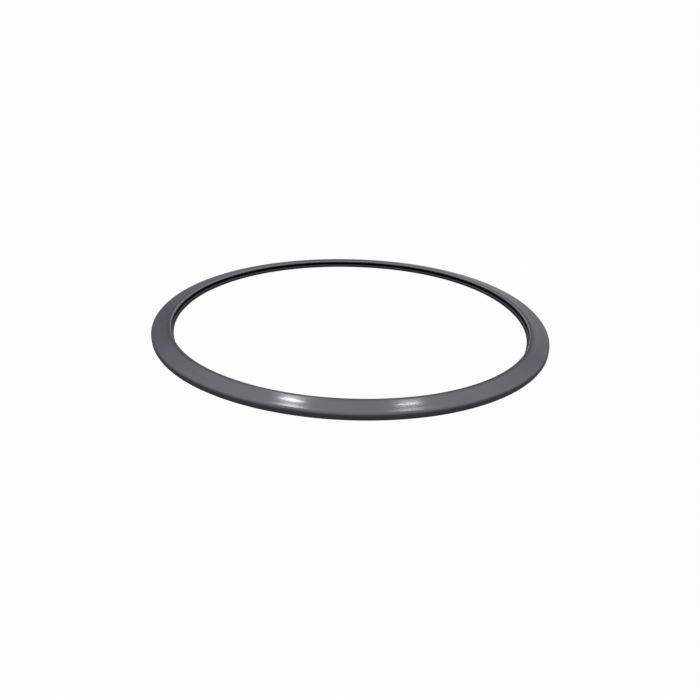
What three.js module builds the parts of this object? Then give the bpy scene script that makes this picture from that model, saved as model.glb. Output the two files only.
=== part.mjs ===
// Sealing ring (lid gasket) of a stovetop pressure cooker.
//
// The whole part is one moulding in dark grey rubber. Its section is a C lying on its side,
// open towards the middle of the ring. The thick lower lip lies flat on the rim of the pot,
// the thinner upper lip leans against the lid, and steam that enters the groove between them
// forces them apart, so that the seal tightens as the pressure rises. The solid heel behind
// the groove fills the channel of the lid.
//
// Units are millimetres and +Z is up. The origin is the centre of the ring, in the plane that
// the flat underside lies in.

import * as THREE from 'three';

// The ring as a whole.
const outerDiameter = 245;
const height = 5; // from the underside to the top of the upper lip

// The section, measured across the ring from its outer wall.
const sectionWidth = 12.4; // outer wall to the tip of the lower lip
const lipStep = 1; // how much further inwards the lower lip reaches than the upper one
const heelWidth = 5.5; // solid rubber between the outer wall and the bottom of the groove
const wallHeight = 3.4; // where the sloping top face, carried on, meets the outer wall
const upperLipThickness = 1.4;
const lowerLipThickness = 1.9;

// Rounds on the corners of the section.
const shoulderRadius = 1.5; // outer wall to sloping top face
const rimRadius = 1; // sloping top face to the tip of the upper lip
const rimUndersideRadius = 0.2;
const grooveRadius = 0.45;
const lowerLipRadius = 1.2;
const outerFootRadius = 0.4;
const innerFootRadius = 0.3;

// How finely the round shapes are cut into flats.
const segmentsRound = 96; // a multiple of four, so that the widths in X and Y are exact
const arcTolerance = 0.03; // furthest that a flat may lie from the true round
const smallestEdge = 0.002; // outline points closer together than this are one point

const outerRadius = outerDiameter / 2;
const lowerLipTip = outerRadius - sectionWidth;
const upperLipTip = lowerLipTip + lipStep;
const grooveBottom = outerRadius - heelWidth;

// The top face runs from the top of the outer wall, touching the round of the rim, so its
// slope is the direction to that round's centre plus the angle that the radius takes up.
const rimCentre = new THREE.Vector2(upperLipTip + rimRadius, height - rimRadius);
const wallTop = new THREE.Vector2(outerRadius, wallHeight);
const topSlope = Math.atan2(rimCentre.y - wallTop.y, wallTop.x - rimCentre.x)
  + Math.asin(rimRadius / rimCentre.distanceTo(wallTop));

// Height of the top face, and of the groove's ceiling parallel to it, at a given radius.
function topFaceAt(radius) {
  return wallHeight + (outerRadius - radius) * Math.tan(topSlope);
}

function ceilingAt(radius) {
  return topFaceAt(radius) - upperLipThickness / Math.cos(topSlope);
}

// The corners of the section before rounding, anticlockwise with the radius to the right and
// the height upwards, each with the radius of its round.
function sectionCorners() {
  return [
    corner(lowerLipTip, 0, innerFootRadius),
    corner(outerRadius, 0, outerFootRadius),
    corner(outerRadius, wallHeight, shoulderRadius),
    corner(upperLipTip, topFaceAt(upperLipTip), rimRadius),
    corner(upperLipTip, ceilingAt(upperLipTip), rimUndersideRadius),
    corner(grooveBottom, ceilingAt(grooveBottom), grooveRadius),
    corner(grooveBottom, lowerLipThickness, grooveRadius),
    corner(lowerLipTip, lowerLipThickness, lowerLipRadius),
  ];
}

function corner(radius, z, round) {
  return { at: new THREE.Vector2(radius, z), round };
}

// Each corner with the unit directions to its two neighbours, and its reach: how far back
// along its edges its round starts, which is the radius over the tangent of half the angle.
function withReach(corners) {
  return corners.map((here, i) => {
    const before = corners.at(i - 1).at;
    const after = corners[(i + 1) % corners.length].at;
    const back = before.clone().sub(here.at).normalize();
    const on = after.clone().sub(here.at).normalize();
    const halfAngle = Math.acos(back.dot(on)) / 2;
    const edge = here.at.distanceTo(after);
    return { ...here, back, on, halfAngle, edge, reach: here.round / Math.tan(halfAngle) };
  });
}

// Two rounds that share an edge too short for both are made smaller by the same ratio.
function fitToEdges(corners) {
  const share = corners.map((here, i) => {
    const next = corners[(i + 1) % corners.length];
    return Math.min(1, here.edge / (here.reach + next.reach));
  });
  return corners.map((here, i) => {
    const ratio = Math.min(share[i], share.at(i - 1));
    return { ...here, round: here.round * ratio, reach: here.reach * ratio };
  });
}

// The arc of one corner, as points from the edge before it to the edge after it.
function arcPoints({ at, round, back, on, halfAngle, reach }) {
  const start = at.clone().addScaledVector(back, reach);
  const end = at.clone().addScaledVector(on, reach);
  const middle = back.clone().add(on).normalize();
  const centre = at.clone().addScaledVector(middle, round / Math.sin(halfAngle));
  const from = start.clone().sub(centre);
  const to = end.clone().sub(centre);
  const turn = Math.atan2(from.cross(to), from.dot(to));
  const flat = 2 * Math.acos(1 - arcTolerance / Math.max(round, arcTolerance));
  const count = Math.max(2, Math.ceil(Math.abs(turn) / flat));
  return Array.from({ length: count + 1 }, (_, k) => (
    from.clone().rotateAround(new THREE.Vector2(), (turn * k) / count).add(centre)
  ));
}

// The closed outline of the section, its last point equal to its first.
function sectionOutline() {
  const rounded = fitToEdges(withReach(sectionCorners())).flatMap(arcPoints);
  const outline = rounded.filter((point, i) => point.distanceTo(rounded.at(i - 1)) > smallestEdge);
  return [...outline, outline[0].clone()];
}

function makeSealingRing() {
  const geometry = new THREE.LatheGeometry(sectionOutline(), segmentsRound);
  geometry.rotateX(Math.PI / 2); // the lathe turns about Y, and the ring's axis is Z
  const rubber = new THREE.MeshStandardMaterial({
    color: 0x3b3b40,
    roughness: 0.42,
    metalness: 0,
  });
  const ring = new THREE.Mesh(geometry, rubber);
  ring.name = 'sealing_ring';
  return ring;
}

const part = new THREE.Group();
part.add(makeSealingRing());

export default part;
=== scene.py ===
# %% [markdown]
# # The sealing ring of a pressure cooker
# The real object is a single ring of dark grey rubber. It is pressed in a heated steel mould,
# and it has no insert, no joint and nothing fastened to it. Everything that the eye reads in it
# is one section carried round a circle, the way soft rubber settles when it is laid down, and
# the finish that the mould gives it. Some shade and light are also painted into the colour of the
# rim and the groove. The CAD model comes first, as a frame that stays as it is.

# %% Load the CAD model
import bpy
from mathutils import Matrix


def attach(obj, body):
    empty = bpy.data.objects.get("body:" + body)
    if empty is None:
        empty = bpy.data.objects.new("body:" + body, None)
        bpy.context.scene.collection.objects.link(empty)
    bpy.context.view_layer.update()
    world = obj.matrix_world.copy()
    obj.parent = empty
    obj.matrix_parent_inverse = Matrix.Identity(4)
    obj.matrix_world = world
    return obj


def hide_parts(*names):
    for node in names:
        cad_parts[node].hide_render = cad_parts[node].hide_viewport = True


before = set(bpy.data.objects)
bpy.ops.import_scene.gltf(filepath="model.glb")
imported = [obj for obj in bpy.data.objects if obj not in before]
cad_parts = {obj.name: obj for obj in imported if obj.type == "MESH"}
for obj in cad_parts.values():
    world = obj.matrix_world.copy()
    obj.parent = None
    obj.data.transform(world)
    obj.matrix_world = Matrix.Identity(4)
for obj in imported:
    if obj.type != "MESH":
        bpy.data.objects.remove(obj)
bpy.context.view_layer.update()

# %% [markdown]
# ## Taking the sizes from the CAD model
# The CAD solid already has every size that matters to the cooker. They could be typed again,
# but then a change to the CAD model would leave this one behind, so they are read from it. Each
# of its vertices lies on the section, at some radius and some height, and the extremes of those
# two columns of numbers are the sizes of the ring. Blender counts in metres and a seal is drawn
# in millimetres, so MM turns one into the other.

# %% Libraries and units
import math

import bpy
import numpy as np
from mathutils import Matrix, Vector

MM = 0.001
print(f"one millimetre is {MM} m")

# %% Measure the CAD ring
ring_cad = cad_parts["sealing_ring"]
cad_points = np.array([v.co for v in ring_cad.data.vertices], float)
cad_radius = np.hypot(cad_points[:, 0], cad_points[:, 1])
cad_height = cad_points[:, 2]

outer_radius = cad_radius.max()
height = cad_height.max()
lower_lip_tip = cad_radius.min()
upper_lip_tip = cad_radius[cad_height > height / 2].min()
print(f"outer radius {outer_radius / MM:.2f} mm, height {height / MM:.3f} mm")
print(f"lower lip tip {lower_lip_tip / MM:.2f} mm, upper lip tip {upper_lip_tip / MM:.2f} mm")

# %% [markdown]
# ## The camera
# A flat ring shows itself best from close by, rather low and through a wide lens. The near side
# then looks much broader than the far side, and the groove can be seen inside the far one. The
# camera could be dragged into place, but here its place is worked out, as a distance in ring
# radii and an angle above the table, so it still fits when the ring's size changes. It looks a
# little below the ring's centre and is turned slightly about its own axis.

# %% Camera
camera_distance = 2.776 * outer_radius
camera_elevation = math.radians(22.12)
look_below_centre = math.radians(3.70)
camera_turn = math.radians(1.56)
lens_over_sensor = 0.745


def add_camera():
    """A camera at -Y, at its distance from the ring's centre and its angle above the table.
    Forward points to +Y and down, by that angle plus the angle below the centre. Right is
    forward x straight up, up is right x forward, and both are turned together about forward by
    the camera's turn."""
    data = bpy.data.cameras.new("studio_camera")
    data.lens = lens_over_sensor * data.sensor_width
    camera = bpy.data.objects.new("studio_camera", data)
    bpy.context.scene.collection.objects.link(camera)
    look_down = camera_elevation + look_below_centre
    forward = Vector((0, math.cos(look_down), -math.sin(look_down)))
    right = forward.cross(Vector((0, 0, 1))).normalized()
    up = right.cross(forward)
    turned_right = right * math.cos(camera_turn) + up * math.sin(camera_turn)
    turned_up = up * math.cos(camera_turn) - right * math.sin(camera_turn)
    axes = Matrix((turned_right, turned_up, -forward)).transposed()
    place = camera_distance * Vector((0, -math.cos(camera_elevation), math.sin(camera_elevation)))
    camera.matrix_world = Matrix.Translation(place) @ axes.to_4x4()
    bpy.context.scene.camera = camera
    return camera


camera = add_camera()
print("camera at", [round(c, 4) for c in camera.matrix_world.translation])

# %% [markdown]
# ## The sizes of the section
# Cut through, the ring is a C lying on its side: a thick lower lip, a thinner upper lip that
# slopes down to the outside, and a groove between them for the steam. The section could be
# drawn as a curve, but a curve gives every stretch the same number of points, and a flat needs
# fewer than a round. Here it's a list of corners with a round each. These are the sizes that
# the extremes of the CAD solid don't give.

# %% Sizes of the section
wall_height = 3.4 * MM  # where the sloping face would meet the outer wall
upper_lip_thickness = 1.4 * MM
lower_lip_thickness = 1.9 * MM
heel_width = 5.5 * MM  # from the outer wall to the bottom of the groove

shoulder_round = 1.5 * MM
rim_round = 1.0 * MM
rim_underside_round = 0.2 * MM
groove_round = 0.45 * MM
lower_lip_round = 1.2 * MM
outer_foot_round = 0.4 * MM
inner_foot_round = 0.3 * MM
section_width = outer_radius - lower_lip_tip
print(f"the section is {section_width / MM:.2f} mm wide")

# %% [markdown]
# ## The slope of the top face
# The top face leans on the inside of the lid. It rises from the outer wall and runs into the
# round of the rim without a kink. The slope could be tried until it looks right, but it's
# known: it's that of the tangent from the top of the wall to the circle of the rim.

# %% The slope of the top face
rim_centre = np.array([upper_lip_tip + rim_round, height - rim_round])
rise = rim_centre[1] - wall_height
run = outer_radius - rim_centre[0]
top_slope = math.atan2(rise, run) + math.asin(rim_round / math.hypot(rise, run))
print(f"the top face slopes by {math.degrees(top_slope):.2f} degrees")


def top_face_at(radius):
    """Height of the top face: the wall's height plus the distance from it times the slope."""
    return wall_height + (outer_radius - radius) * math.tan(top_slope)


# %% Corners of the section
lip_drop = upper_lip_thickness / math.cos(top_slope)
groove_bottom = outer_radius - heel_width
corners = np.array([
    (lower_lip_tip, 0, inner_foot_round),
    (outer_radius, 0, outer_foot_round),
    (outer_radius, wall_height, shoulder_round),
    (upper_lip_tip, top_face_at(upper_lip_tip), rim_round),
    (upper_lip_tip, top_face_at(upper_lip_tip) - lip_drop, rim_underside_round),
    (groove_bottom, top_face_at(groove_bottom) - lip_drop, groove_round),
    (groove_bottom, lower_lip_thickness, groove_round),
    (lower_lip_tip, lower_lip_thickness, lower_lip_round),
])
print(len(corners), "corners")

# %% [markdown]
# ## Rounding the corners
# Rubber tears at a sharp corner when it's pulled from its mould, so every corner of the section
# is round. A Bevel modifier could round the finished ring, but it has one width and would need
# a weight on every edge. The corners are rounded in the section instead, by true arcs, each
# with its own radius.

# %% Round the corners
arc_steps = 10


def unit(vectors):
    """Each row divided by its length."""
    return vectors / np.linalg.norm(vectors, axis=-1, keepdims=True)


def rounded_outline(corners, steps):
    """An arc in place of each corner. The arc starts radius / tan(half the corner's angle) back
    along the edges, and its centre is radius / sin(half the angle) along the bisector. Its
    points are centre + start arm * cos(a) + perpendicular arm * sin(a), for a from 0 to the
    turn, which is a half circle less the corner's angle. Returns corner by step by (r, z)."""
    at, radius = corners[:, :2], corners[:, 2:]
    back = unit(np.roll(at, 1, axis=0) - at)
    on = unit(np.roll(at, -1, axis=0) - at)
    half = np.arccos((back * on).sum(axis=1, keepdims=True)) / 2
    start = at + back * radius / np.tan(half)
    centre = at + unit(back + on) * radius / np.sin(half)
    arm = start - centre
    side = -back * radius
    a = np.linspace(0, 1, steps + 1) * (math.pi - 2 * half)
    turned = arm[:, None] * np.cos(a)[..., None] + side[:, None] * np.sin(a)[..., None]
    return centre[:, None] + turned


arcs = rounded_outline(corners, arc_steps)
print("arcs", arcs.shape)

# %% [markdown]
# ## Points on the flats
# A flat needs no points for its own shape. It gets some because what comes next is carried by
# points: a hollow, two seams and the worn places. Subdividing would put as many on the
# underside as on the face, so each run between two rounds has its own spacing.

# %% Fill the flats between the arcs
coarse = 0.6 * MM  # between points where the rubber is plain
fine = 0.3 * MM  # on the face that shows
very_fine = 0.06 * MM  # where a seam of the mould runs
spacings = [coarse, very_fine, fine, coarse, coarse, coarse, coarse, very_fine]


def with_flats(arcs, spacings):
    """The arcs joined by straight runs of evenly spaced points: each run goes from the last
    point of one arc to the first of the next, in steps no longer than that run's spacing."""
    runs = []
    for arc, following, spacing in zip(arcs, np.roll(arcs, -1, axis=0), spacings):
        gap = following[0] - arc[-1]
        count = max(1, math.ceil(np.linalg.norm(gap) / spacing))
        share = np.arange(1, count)[:, None] / count
        runs += [arc, arc[-1] + gap * share]
    return np.concatenate(runs)


outline = with_flats(arcs, spacings)
print("outline of", len(outline), "points")

# %% [markdown]
# ## The hollow of the top face
# A perfect section looks like a drawing. Real rubber shrinks as it cools, which leaves the
# broad top face about a tenth of a millimetre hollow, and lamps show up in it as lens-shaped
# lights. A bump in the material could bend those lights too, but it wouldn't be there in the
# mesh. So the hollow is a shape: a depth for every point of the outline.

# %% The hollow of the top face
dish_depth = 0.115 * MM


def hollow(outline):
    """How far the top face falls. Across the face, u runs from 0 at the rim to 1 at the
    shoulder, and the fall is depth * sin(pi u) squared, so that it starts and ends level."""
    rim_end = upper_lip_tip + rim_round
    shoulder_end = outer_radius - shoulder_round
    u = (outline[:, 0] - rim_end) / (shoulder_end - rim_end)
    near_face = np.abs(outline[:, 1] - top_face_at(outline[:, 0])) < upper_lip_thickness / 2
    on_face = (u > 0) & (u < 1) & near_face
    return np.where(on_face, dish_depth * np.sin(math.pi * u) ** 2, 0)


fall = hollow(outline)
print(f"deepest {fall.max() / MM:.3f} mm, over {np.count_nonzero(fall)} points")

# %% [markdown]
# ## The seams of the mould
# Where the parts of the mould meet, a hair of rubber is squeezed out and leaves a seam, once on
# the outer wall and once on the nose of the lower lip. Each could be a thin bead laid on the
# ring, but on the real one it's the same rubber and has no edge. So it's a small hill in the
# outline, and the section carries it round with everything else.

# %% The seams of the mould
seam_height = 0.04 * MM
seam_width = 0.08 * MM
wall_seam_at = 1.2 * MM
nose_seam_at = 0.5 * MM


def seam(outline, wall_radius, seam_at):
    """How far a seam stands out: height * exp(-(distance / width) squared) from its line, on
    the points of one vertical wall."""
    on_wall = np.abs(outline[:, 0] - wall_radius) < seam_width
    distance = (outline[:, 1] - seam_at) / seam_width
    return np.where(on_wall, seam_height * np.exp(-distance**2), 0)


seams = seam(outline, outer_radius, wall_seam_at) - seam(outline, lower_lip_tip, nose_seam_at)
print(f"seams from {seams.min() / MM:.3f} to {seams.max() / MM:.3f} mm")

# %% [markdown]
# ## Carrying the section round the circle
# A Screw modifier would turn the outline into a ring too, and into a perfect one. Worked out as
# arrays, the ring can be what soft rubber is: not quite round. A gasket that has been packed,
# handled and laid down keeps a slight oval and a few flats, each about half a millimetre, and
# weaker waves on top of them.

# %% How far out of round
around_steps = 480
two_lobes = -0.0032  # of the radius
three_lobes = -0.0041
four_lobes = -0.0043
wave_depth = 0.04 * MM
wall_waves = ((7, 11, 17), (0.4, 2.1, 4.0))  # periods in a turn, and where each starts
seam_waves = ((23, 61, 113), (1.0, 5.0, 2.5))
hollow_waves = ((2, 5), (1.0, 3.0))
seam_swing = 0.3
hollow_swing = 0.15


def waves(a, periods, starts):
    """The mean of some sines of the angle, each with its own count of periods and start."""
    return sum(np.sin(n * a + start) for n, start in zip(periods, starts)) / len(periods)


print(f"lobes up to {max(-two_lobes, -three_lobes, -four_lobes) * outer_radius / MM:.2f} mm each")

# %% The surface of the ring
def ring_surface(outline, fall, seams, steps):
    """A grid of points, angle by outline point. At angle a the outline point (r, z) goes to
    (s cos a, s sin a, z - fall), where s = r * (1 + two_lobes sin 2a + three_lobes cos 3a +
    four_lobes cos 4a) + weak waves + seams. The weak waves and a seam's height are taken off,
    so that neither makes the ring wider. The seams and the fall have waves of their own along
    the ring."""
    a = np.linspace(0, 2 * math.pi, steps, endpoint=False)[:, None]
    r, z = outline[:, 0], outline[:, 1]
    lobes = two_lobes * np.sin(2 * a) + three_lobes * np.cos(3 * a) + four_lobes * np.cos(4 * a)
    weak = wave_depth * (waves(a, *wall_waves) - 1) - seam_height
    raised = seams * (1 + seam_swing * (waves(a, *seam_waves) - 1))
    sunk = fall * (1 + hollow_swing * waves(a, *hollow_waves))
    s = r * (1 + lobes) + weak + raised
    return np.stack([s * np.cos(a), s * np.sin(a), z - sunk], axis=-1)


surface = ring_surface(outline, fall, seams, around_steps)
print("surface grid", surface.shape)

# %% [markdown]
# ## From the grid to a mesh
# The grid closes on itself both ways, round the ring and round the section, as the surface of
# the real ring does. A torus from the Add menu is such a grid too, but it has a circle for a
# section. Here the neighbours in the grid are joined by quads, which leaves no seam and no
# pole, and smooth shading hides their edges.

# %% Make the mesh
def grid_mesh(name, grid):
    """A mesh from a grid that closes on itself both ways. Each face joins the grid points
    (i, j), (i + 1, j), (i + 1, j + 1) and (i, j + 1), counted round in both directions."""
    rows, columns = grid.shape[:2]
    index = np.arange(rows * columns).reshape(rows, columns)
    ahead = np.roll(index, -1, axis=0)
    faces = np.stack([index, ahead, np.roll(ahead, -1, axis=1), np.roll(index, -1, axis=1)], -1)
    mesh = bpy.data.meshes.new(name)
    mesh.from_pydata(grid.reshape(-1, 3), [], faces.reshape(-1, 4))
    mesh.shade_smooth()
    return mesh


ring_mesh = grid_mesh("sealing_ring_rubber", surface)
ring = bpy.data.objects.new("sealing_ring_rubber", ring_mesh)
bpy.context.scene.collection.objects.link(ring)
print(len(ring_mesh.polygons), "faces")

# %% [markdown]
# ## A map for the marks of the mould
# The mould was cut on a lathe, so its marks run round the ring and not along X, Y or Z. An
# automatic unwrap would cut the ring up and turn every patch its own way. But the mesh is a
# grid, so its map is known: U is the angle, and V is the distance along the section.

# %% UV map: round the ring, and across it
def add_uv(mesh, outline, steps):
    """U is the angle as a share of a turn. V is the distance along the outline from its first
    point, in millimetres. The last column and row count up to the full turn and the full
    distance, so no face runs back across the whole map."""
    gaps = np.linalg.norm(np.roll(outline, -1, axis=0) - outline, axis=1)
    along = np.concatenate([[0], np.cumsum(gaps)]) / MM
    i, j = np.meshgrid(np.arange(steps), np.arange(len(outline)), indexing="ij")
    step_i = np.array([0, 1, 1, 0])
    step_j = np.array([0, 0, 1, 1])
    u = (i[..., None] + step_i) / steps
    v = along[j[..., None] + step_j]
    layer = mesh.uv_layers.new(name="round_and_across")
    layer.uv.foreach_set("vector", np.stack([u, v], -1).ravel())
    return along[-1]


section_length = add_uv(ring_mesh, outline, around_steps)
print(f"the outline is {section_length:.2f} mm long")

# %% [markdown]
# ## The rim: painted shade on its crest, and a painted highlight inside
# The crest of the rim is darkened all round. This is painted shade for where the rim turns away
# from the light, and the crest is made duller too. Just inside the crest a paler band is painted,
# a highlight for the light line along the inner rim. Both could be painted with a brush, but a
# formula is even all round. So every point of the mesh carries numbers, called attributes, that
# are 1 at the crest or just inside it and fade away from there. The material reads them later.

# %% Where on the rim's round
def rim_turn(outline):
    """For each point, its direction from the centre of the rim's round: 0 straight up, and a
    quarter turn straight towards the middle of the ring."""
    inwards = rim_centre[0] - outline[:, 0]
    upwards = outline[:, 1] - rim_centre[1]
    return np.arctan2(inwards, upwards)


def near_round(outline, centre, radius, reach):
    """1 on a round of the section, and exp(-distance / reach) away from it."""
    distance = np.abs(np.linalg.norm(outline - centre, axis=1) - radius)
    return np.exp(-distance / reach)


turn = rim_turn(outline)
print("turn from", round(math.degrees(turn.min())), "to", round(math.degrees(turn.max())))

# %% Attributes: painted shade on the crest, and a painted highlight inside the rim
crest_shade_reach = 0.5 * MM
rim_highlight_reach = 0.2 * MM
crest_end_at = math.radians(27)
crest_end_blend = math.radians(10)


def add_attribute(mesh, name, values, steps):
    """A number for each point of the mesh, the same at every step round the ring."""
    attribute = mesh.attributes.new(name, "FLOAT", "POINT")
    attribute.data.foreach_set("value", np.tile(values, steps))
    print(name, "over half on", np.count_nonzero(values > 0.5), "of", len(values), "points")


def step_up(values, at, width):
    """A straight ramp from 0 to 1 over that width, half way up at that value."""
    return np.clip((values - at) / width + 0.5, 0, 1)


past_crest = step_up(turn, crest_end_at, crest_end_blend)
by_rim = near_round(outline, rim_centre, rim_round, crest_shade_reach)
by_rim_highlight = near_round(outline, rim_centre, rim_round, rim_highlight_reach)
# Painted shade: the crest of the rim gets a darker colour, and it is also made duller.
add_attribute(ring_mesh, "crest_shade_and_dullness", by_rim * (1 - past_crest), around_steps)
# Painted highlight: a paler band just inside the crest stands in for the light line along the
# inner rim.
add_attribute(ring_mesh, "rim_highlight", by_rim_highlight * past_crest, around_steps)

# %% [markdown]
# ## The rubbed shoulder
# The shoulder is the outermost part of the ring, so it slides along the lid's channel whenever
# the ring is put in, and it's a little duller than the face. A second material would end in a
# line there. An attribute made in the same way as the rim's fades out instead.

# %% Attribute: the rubbed shoulder
shoulder_reach = 0.5 * MM
shoulder_radius = outer_radius - shoulder_round
shoulder_height = top_face_at(shoulder_radius) - shoulder_round / math.cos(top_slope)
shoulder_centre = np.array([shoulder_radius, shoulder_height])
by_shoulder = near_round(outline, shoulder_centre, shoulder_round, shoulder_reach)
add_attribute(ring_mesh, "rubbed", by_shoulder, around_steps)

# %% [markdown]
# ## Painted shade in the groove
# The groove and the top of the lower lip lie under the upper lip, in its shade, and that shade is
# painted into their colour. They are darker, and duller too. Faces could be picked by hand for it.
# Three ramps multiplied say the same in a few words and give it a soft edge: below the top face,
# above the table, and far enough in from the outer wall.

# %% Attribute: painted shade in the groove
groove_mask_edge = 0.5 * MM


def inside_groove(outline):
    """1 on the walls of the groove and on the top of the lower lip, and 0 outside. It's a ramp
    up with the depth below the top face, times one up with the height above the table, times
    one up with the distance from the outer wall."""
    r, z = outline[:, 0], outline[:, 1]
    below_face = step_up(top_face_at(r) - z, upper_lip_thickness, groove_mask_edge / 2)
    above_table = step_up(z, groove_mask_edge / 2, groove_mask_edge / 2)
    in_reach = step_up(outer_radius - r, heel_width / 2, groove_mask_edge)
    return below_face * above_table * in_reach


# Painted shade: the groove and the top of the lower lip get a darker colour, and are made duller.
add_attribute(ring_mesh, "groove_shade_and_dullness", inside_groove(outline), around_steps)

# %% [markdown]
# ## Tools for the materials
# A material is a tree of nodes, and it can be wired up by hand in the Shader Editor. A script
# makes the same tree every time, and each number in it has a name. Four helpers do the wiring:
# one makes a node, one does sums, and two turn a pattern into a factor that colour or gloss is
# multiplied by.

# %% Helpers for materials
def add_node(tree, kind, **settings):
    """A shader node, with its properties and its unlinked inputs set by name."""
    node = tree.nodes.new("ShaderNode" + kind)
    for name, value in settings.items():
        if hasattr(node, name):
            setattr(node, name, value)
        else:
            node.inputs[name.replace("_", " ")].default_value = value
    return node


def add_math(tree, operation, first, *others):
    """first operation second, then that operation third, and so on. Each is a socket or a
    number."""
    for other in others:
        node = add_node(tree, "Math", operation=operation)
        for socket, value in zip(node.inputs, (first, other)):
            if isinstance(value, (int, float)):
                socket.default_value = value
            else:
                tree.links.new(value, socket)
        first = node.outputs["Value"]
    return first


def around_one(tree, pattern, swing):
    """1 + swing * (pattern - half), so a noise becomes a factor close to 1."""
    return add_math(tree, "ADD", add_math(tree, "MULTIPLY", pattern, swing), 1 - swing / 2)


def grown_by(tree, mask, amount):
    """1 + amount * mask, a factor that is 1 wherever the mask is 0."""
    return add_math(tree, "ADD", add_math(tree, "MULTIPLY", mask, amount), 1.0)


print("helpers for nodes, sums and factors are ready")

# %% [markdown]
# ## The patterns in the rubber
# One flat colour would look like plastic. What makes it rubber is small: clouds where the
# filler isn't mixed evenly, a finer mottling, the grain of the mould's surface, a weak orange
# peel, and the marks of the lathe. They could be pictures laid over the mesh, but a picture
# blurs up close and has edges. Noises have neither, and they are worked out at every spot.

# %% Lumps and grain
lumps = {  # how many to the metre, and how many finer layers they have
    "clouds": (45.0, 3.0),
    "mottling": (600.0, 2.0),
    "peel": (900.0, 1.0),
    "grain": (9000.0, 2.0),
}


def add_noise(tree, place, scale, detail):
    """A noise from 0 to 1 on Object coordinates, with so many lumps to the metre."""
    node = add_node(tree, "TexNoise", Scale=scale, Detail=detail)
    tree.links.new(place, node.inputs["Vector"])
    return node.outputs["Fac"]


print("noises:", *lumps)

# %% Lathe marks
marks_to_the_mm = 5.0
mark_layers = 2.0


def add_lathe_marks(tree):
    """Noise of one dimension, the distance across the ring, so that each value is a line that
    runs right round."""
    uv = add_node(tree, "UVMap", uv_map="round_and_across")
    split = add_node(tree, "SeparateXYZ")
    tree.links.new(uv.outputs["UV"], split.inputs["Vector"])
    marks = add_node(
        tree, "TexNoise", noise_dimensions="1D", Scale=marks_to_the_mm, Detail=mark_layers
    )
    tree.links.new(split.outputs["Y"], marks.inputs["W"])
    return marks.outputs["Fac"]


print(f"about {marks_to_the_mm * section_width / MM:.0f} marks across the ring")

# %% All the patterns
attribute_masks = ("crest_shade_and_dullness", "rim_highlight", "rubbed", "groove_shade_and_dullness")


def add_patterns(tree):
    """Every pattern by its name: the noises, the lathe marks and the attribute masks. The masks
    hold the painted shade of the crest and the groove, the painted highlight inside the rim, and
    the rubbed shoulder. Each is a number from 0 to 1."""
    place = add_node(tree, "TexCoord").outputs["Object"]
    patterns = {name: add_noise(tree, place, *sizes) for name, sizes in lumps.items()}
    patterns["marks"] = add_lathe_marks(tree)
    for name in attribute_masks:
        patterns[name] = add_node(tree, "Attribute", attribute_name=name).outputs["Fac"]
    return patterns


print("patterns:", *lumps, "marks", *attribute_masks)

# %% [markdown]
# ## The relief of the surface
# The marks, the grain and the orange peel are less than a thousandth of a millimetre high. As
# shapes they would take millions of faces, and nobody would see them except by what they do to
# a light. That is what a Bump node is for: the surface stays where it is, and only the way it
# faces changes.

# %% Relief: lathe marks, grain and orange peel
relief_heights = {"marks": 0.0004 * MM, "grain": 0.0002 * MM, "peel": 0.0004 * MM}


def add_relief(tree, patterns):
    """A bump of the sum of the patterns, each times its own height in metres."""
    heights = [
        add_math(tree, "MULTIPLY", patterns[name], high) for name, high in relief_heights.items()
    ]
    bump = add_node(tree, "Bump", Strength=1.0, Distance=1.0)
    tree.links.new(add_math(tree, "ADD", *heights), bump.inputs["Height"])
    return bump.outputs["Normal"]


print(f"relief up to {sum(relief_heights.values()) / MM:.4f} mm")

# %% [markdown]
# ## The colour of the rubber
# The compound is a dark grey with a touch of violet, and the groove gets a nearly black colour,
# which is painted shade. Two materials could share the ring, but colours that are mixed by an
# attribute have no line between them. The noises then move the tone a little. The painted shade on
# the crest and the painted highlight inside the rim move it more.

# %% Tone: what makes the rubber lighter and darker
cloud_tone = 0.16
mottling_tone = 0.10
mark_tone = 0.08
# How dark the painted shade on the crest is, and how much paler the painted highlight inside the
# rim is.
crest_shade_darkening = 0.7
rim_highlight_gain = 1.3


def add_tone(tree, patterns):
    """Clouds * mottling * marks * (1 - darkening * painted crest shade) * (1 + gain * painted rim
    highlight).
    """
    return add_math(
        tree, "MULTIPLY",
        around_one(tree, patterns["clouds"], cloud_tone),
        around_one(tree, patterns["mottling"], mottling_tone),
        around_one(tree, patterns["marks"], mark_tone),
        grown_by(tree, patterns["crest_shade_and_dullness"], -crest_shade_darkening),
        grown_by(tree, patterns["rim_highlight"], rim_highlight_gain),
    )


# The crest's tone is painted shade. The band inside the rim, printed as the cut, is a painted
# highlight.
print(f"the crest has {1 - crest_shade_darkening:.1f} and the cut {1 + rim_highlight_gain:.1f} of the tone")

# %% Colour of the rubber
rubber_colour = (0.106, 0.104, 0.127)
# The colour of the painted shade in the groove.
groove_shade_colour = (0.020, 0.017, 0.034)


def add_colour(tree, patterns):
    """The tone times a mix: the rubber's colour where the groove mask is 0, and the groove's
    painted shade colour where it's
    1. A Mix node has a set of sockets for each kind of data, and these are its vector ones."""
    mixed = add_node(tree, "Mix", data_type="VECTOR")
    share, bare, in_shade = mixed.inputs[0], mixed.inputs[4], mixed.inputs[5]
    tree.links.new(patterns["groove_shade_and_dullness"], share)
    bare.default_value = rubber_colour
    in_shade.default_value = groove_shade_colour
    colour = add_node(tree, "VectorMath", operation="SCALE")
    tree.links.new(mixed.outputs[1], colour.inputs["Vector"])
    tree.links.new(add_tone(tree, patterns), colour.inputs["Scale"])
    return colour.outputs["Vector"]


print("rubber", rubber_colour, "groove_shade_and_dullness", groove_shade_colour)

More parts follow.
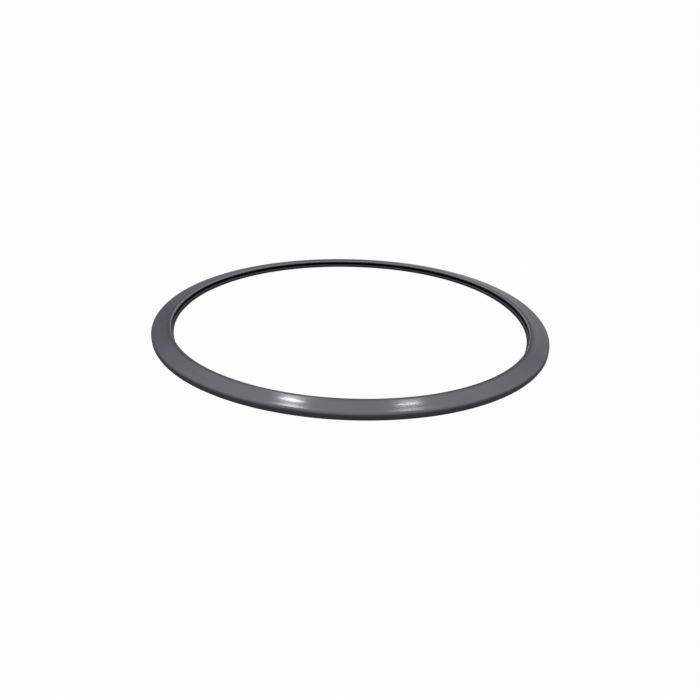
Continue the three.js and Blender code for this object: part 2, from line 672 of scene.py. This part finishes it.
# %% [markdown]
# ## The gloss of the rubber
# Moulded rubber has a soft gloss, and it loses it where it's rubbed. The same roughness all
# over would make the two lamps end in clean ovals. Here clouds and marks change it from place
# to place, and the crest, the shoulder and the groove are rougher.

# %% Gloss of the rubber
rubber_roughness = 0.14
cloud_gloss = 0.3
mark_gloss = 0.3
crest_matting = 2.2
rubbed_matting = 0.4
groove_matting = 2.0


def add_roughness(tree, patterns):
    """The rubber's roughness * clouds * marks * (1 + matting * crest mask) * (1 + matting *
    rubbed) * (1 + matting * groove mask), each with its own matting."""
    return add_math(
        tree, "MULTIPLY", rubber_roughness,
        around_one(tree, patterns["clouds"], cloud_gloss),
        around_one(tree, patterns["marks"], mark_gloss),
        grown_by(tree, patterns["crest_shade_and_dullness"], crest_matting),
        grown_by(tree, patterns["rubbed"], rubbed_matting),
        grown_by(tree, patterns["groove_shade_and_dullness"], groove_matting),
    )


print("roughness", rubber_roughness, "on the face, before the noises")

# %% [markdown]
# ## The rubber, put together
# A Glossy and a Diffuse shader could be mixed for it, but the Principled one does that with the
# right share at every angle. Marks that all run one way draw a light out across themselves,
# finer than any bump can show. That is anisotropy, and its direction comes from the UV map, so
# that it turns with the ring.

# %% Rubber material
rubber_ior = 1.5
rubber_anisotropy = 0.6
quarter_turn = 0.25


def rubber_material():
    """A Principled BSDF with the colour, the roughness and the relief above. Its tangent runs
    round the ring, turned by a quarter so that lights are drawn out across it."""
    material = bpy.data.materials.new("seal_rubber")
    material.use_nodes = True
    tree = material.node_tree
    shader = tree.nodes["Principled BSDF"]
    shader.inputs["IOR"].default_value = rubber_ior
    shader.inputs["Anisotropic"].default_value = rubber_anisotropy
    shader.inputs["Anisotropic Rotation"].default_value = quarter_turn
    patterns = add_patterns(tree)
    tangent = add_node(tree, "Tangent", direction_type="UV_MAP", uv_map="round_and_across")
    tree.links.new(add_colour(tree, patterns), shader.inputs["Base Color"])
    tree.links.new(add_roughness(tree, patterns), shader.inputs["Roughness"])
    tree.links.new(add_relief(tree, patterns), shader.inputs["Normal"])
    tree.links.new(tangent.outputs["Tangent"], shader.inputs["Tangent"])
    return material


ring_mesh.materials.append(rubber_material())
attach(ring, "root")
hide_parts("sealing_ring")
print("rubber on", ring.name)

# %% [markdown]
# ## The table and the tent round it
# The ring lies on a plain white table inside a tent of white cloth. Both could be lit like any
# other thing, but then the table would have shadows and a horizon, and it would throw light up
# at the ring, whose low walls have to stay dark. So the two are one closed shape, a half sphere
# on its floor, that glows by itself and whose light doesn't reach the ring.

# %% White that glows
tent_white = 0.985
full_white = (1, 1, 1, 1)
full_black = (0, 0, 0, 1)


def white_material():
    """White that glows and reflects nothing. Its outside is clear: the back of a face is all
    Transparent, so the ring can be looked at from below the table too."""
    material = bpy.data.materials.new("table_white")
    material.use_nodes = True
    tree = material.node_tree
    shader = tree.nodes["Principled BSDF"]
    shader.inputs["Base Color"].default_value = full_black
    shader.inputs["Specular IOR Level"].default_value = 0.0
    shader.inputs["Emission Color"].default_value = full_white
    shader.inputs["Emission Strength"].default_value = tent_white
    facing = add_node(tree, "NewGeometry")
    clear = add_node(tree, "BsdfTransparent")
    choice = add_node(tree, "MixShader")
    share, inside, outside = choice.inputs
    tree.links.new(facing.outputs["Backfacing"], share)
    tree.links.new(shader.outputs["BSDF"], inside)
    tree.links.new(clear.outputs["BSDF"], outside)
    tree.links.new(choice.outputs["Shader"], tree.nodes["Material Output"].inputs["Surface"])
    return material


tent_cloth = white_material()
print("tent of", tent_cloth.name)

# %% Points of the tent
tent_radius = 5.0
tent_rings = 16
tent_sides = 64
last_ring_at = 1.5  # radians above the table, just short of straight up
table_gap = 0.05 * MM  # keeps the table's face clear of the ring's underside


def tent_points():
    """A grid of points, side by ring. Ring k of the dome has radius R cos(e) and height
    R sin(e), less the gap, where e goes evenly from 0 to the last ring's."""
    e = np.linspace(0, last_ring_at, tent_rings)
    a = np.linspace(0, 2 * math.pi, tent_sides, endpoint=False)[:, None]
    grid = np.stack([np.cos(e) * np.cos(a), np.cos(e) * np.sin(a), np.sin(e) + 0 * a], -1)
    return tent_radius * grid - np.array([0, 0, table_gap])


print("tent grid", tent_points().shape)

# %% Table and tent
def add_tent():
    """Quads join the rings of the dome, and one face closes each end: the table below and a
    lid at the top. All of them face inwards."""
    index = np.arange(tent_sides * tent_rings).reshape(tent_sides, tent_rings)
    ahead = np.roll(index, -1, axis=0)
    quads = np.stack([index[:, :-1], index[:, 1:], ahead[:, 1:], ahead[:, :-1]], -1).reshape(-1, 4)
    faces = quads.tolist() + [index[:, 0].tolist(), index[::-1, -1].tolist()]
    mesh = bpy.data.meshes.new("table_and_tent")
    mesh.from_pydata(tent_points().reshape(-1, 3), [], faces)
    mesh.materials.append(tent_cloth)
    tent = bpy.data.objects.new("table_and_tent", mesh)
    bpy.context.scene.collection.objects.link(tent)
    tent.visible_diffuse = False
    tent.visible_glossy = False
    tent.visible_shadow = False
    return tent


tent = add_tent()
print("tent", len(tent.data.polygons), "faces")

# %% [markdown]
# ## The light
# A tent lit from outside is bright overhead and dark near the table, and it glows a little
# where a light stands behind its cloth. So the top face of the ring is lit and its walls
# aren't. A ring of area lamps could do it, but each would leave its own edge in the gloss. The
# world's nodes give one soft light instead: a strength that depends only on direction.

# %% Directions
def direction_of(azimuth, elevation):
    """The unit vector (sin az cos el, cos az cos el, sin el). Azimuth counts from straight
    behind the ring towards +X, and elevation from the table up, both in degrees."""
    az, el = math.radians(azimuth), math.radians(elevation)
    return Vector((math.sin(az) * math.cos(el), math.cos(az) * math.cos(el), math.sin(el)))


print("straight behind the ring is", tuple(direction_of(0, 0)))

# %% Soft lights
glows = [  # azimuth, elevation and width in degrees, and strength
    (-80, 15, 40, 0.33),  # the left side of the tent
    (70, 15, 40, 0.38),  # the right side
    (17, 3, 20, 0.42),  # low at the back, right
    (-15, 2, 18, 0.15),  # low at the back, left
    (31, 18, 9, 0.3),  # further right, and smaller
    (-11, 26, 11, 2.0),  # below the left lamp
    (12, 26, 11, 0.5),  # below the right lamp
]


def smooth_ramp(tree, value, low, high, strength):
    """0 below low, strength above high, and a smooth step between."""
    ramp = add_node(
        tree, "MapRange", interpolation_type="SMOOTHSTEP",
        From_Min=low, From_Max=high, To_Max=strength,
    )
    tree.links.new(value, ramp.inputs["Value"])
    return ramp.outputs["Result"]


def add_glow(tree, direction, azimuth, elevation, width, strength):
    """A soft round light: a smooth ramp on the cosine of the angle from its centre."""
    dot = add_node(tree, "VectorMath", operation="DOT_PRODUCT")
    tree.links.new(direction, dot.inputs[0])
    dot.inputs[1].default_value = direction_of(azimuth, elevation)
    return smooth_ramp(tree, dot.outputs["Value"], math.cos(math.radians(width)), 1.0, strength)


print(len(glows), "glows")

# %% World: light from all directions
overhead_from = 0.34  # height of a direction, which is the sine of its angle above the table
overhead_full = 0.85
overhead_strength = 1.21
everywhere_strength = 0.08


def add_world(glows):
    """Strength = (overhead ramp + the glows) above the table and 0 below it, plus a faint
    strength everywhere."""
    world = bpy.data.worlds.new("tent_light")
    bpy.context.scene.world = world
    world.use_nodes = True
    tree = world.node_tree
    direction = add_node(tree, "TexCoord").outputs["Generated"]
    split = add_node(tree, "SeparateXYZ")
    tree.links.new(direction, split.inputs["Vector"])
    up = split.outputs["Z"]
    overhead = smooth_ramp(tree, up, overhead_from, overhead_full, overhead_strength)
    soft_lights = [add_glow(tree, direction, *glow) for glow in glows]
    total = add_math(tree, "ADD", overhead, *soft_lights)
    total = add_math(tree, "MULTIPLY", total, add_math(tree, "GREATER_THAN", up, 0.0))
    total = add_math(tree, "ADD", total, everywhere_strength)
    background = tree.nodes["Background"]
    background.inputs["Color"].default_value = full_white
    tree.links.new(total, background.inputs["Strength"])
    return world


world = add_world(glows)
print(world.name, "with", len(world.node_tree.nodes), "nodes")

# %% [markdown]
# ## Two lamps
# Two small lamps stand high behind the ring, and its near side shows both as bright lights.
# They could be two more glows in the world, but a light so small and strong is easily missed
# there and makes the render grainy. Blender aims rays straight at an area lamp, so it stays
# clean.

# %% Two lamps
lamp_distance = 12 * outer_radius
lamp_colour = (0.97, 0.965, 1.0)


def add_lamp(name, azimuth, elevation, size, power):
    """An ellipse of light that faces the near side of the ring. It stands at that side plus its
    direction times the lamps' distance."""
    data = bpy.data.lights.new(name, "AREA")
    data.shape = "ELLIPSE"
    data.size, data.size_y = size
    data.color = lamp_colour
    data.energy = power
    lamp = bpy.data.objects.new(name, data)
    bpy.context.scene.collection.objects.link(lamp)
    away = direction_of(azimuth, elevation)
    place = Matrix.Translation(Vector((0, -outer_radius, 0)) + away * lamp_distance)
    lamp.matrix_world = place @ away.to_track_quat("Z", "Y").to_matrix().to_4x4()
    print(name, "at", [round(c, 3) for c in lamp.matrix_world.translation])


add_lamp("lamp_left", azimuth=-14.6, elevation=47.6, size=(0.10, 0.05), power=0.9)
add_lamp("lamp_right", azimuth=14.8, elevation=47.8, size=(0.11, 0.05), power=0.5)

# %% [markdown]
# ## The film
# Blender's usual view transform bends bright tones down, as film does, and would turn the white
# table grey. The Standard one shows every tone as it was worked out, so white stays white and
# the rubber keeps the grey that was chosen for it.

# %% Film
view = bpy.context.scene.view_settings
view.view_transform = "Standard"
view.look = "None"
print("view transform", view.view_transform)
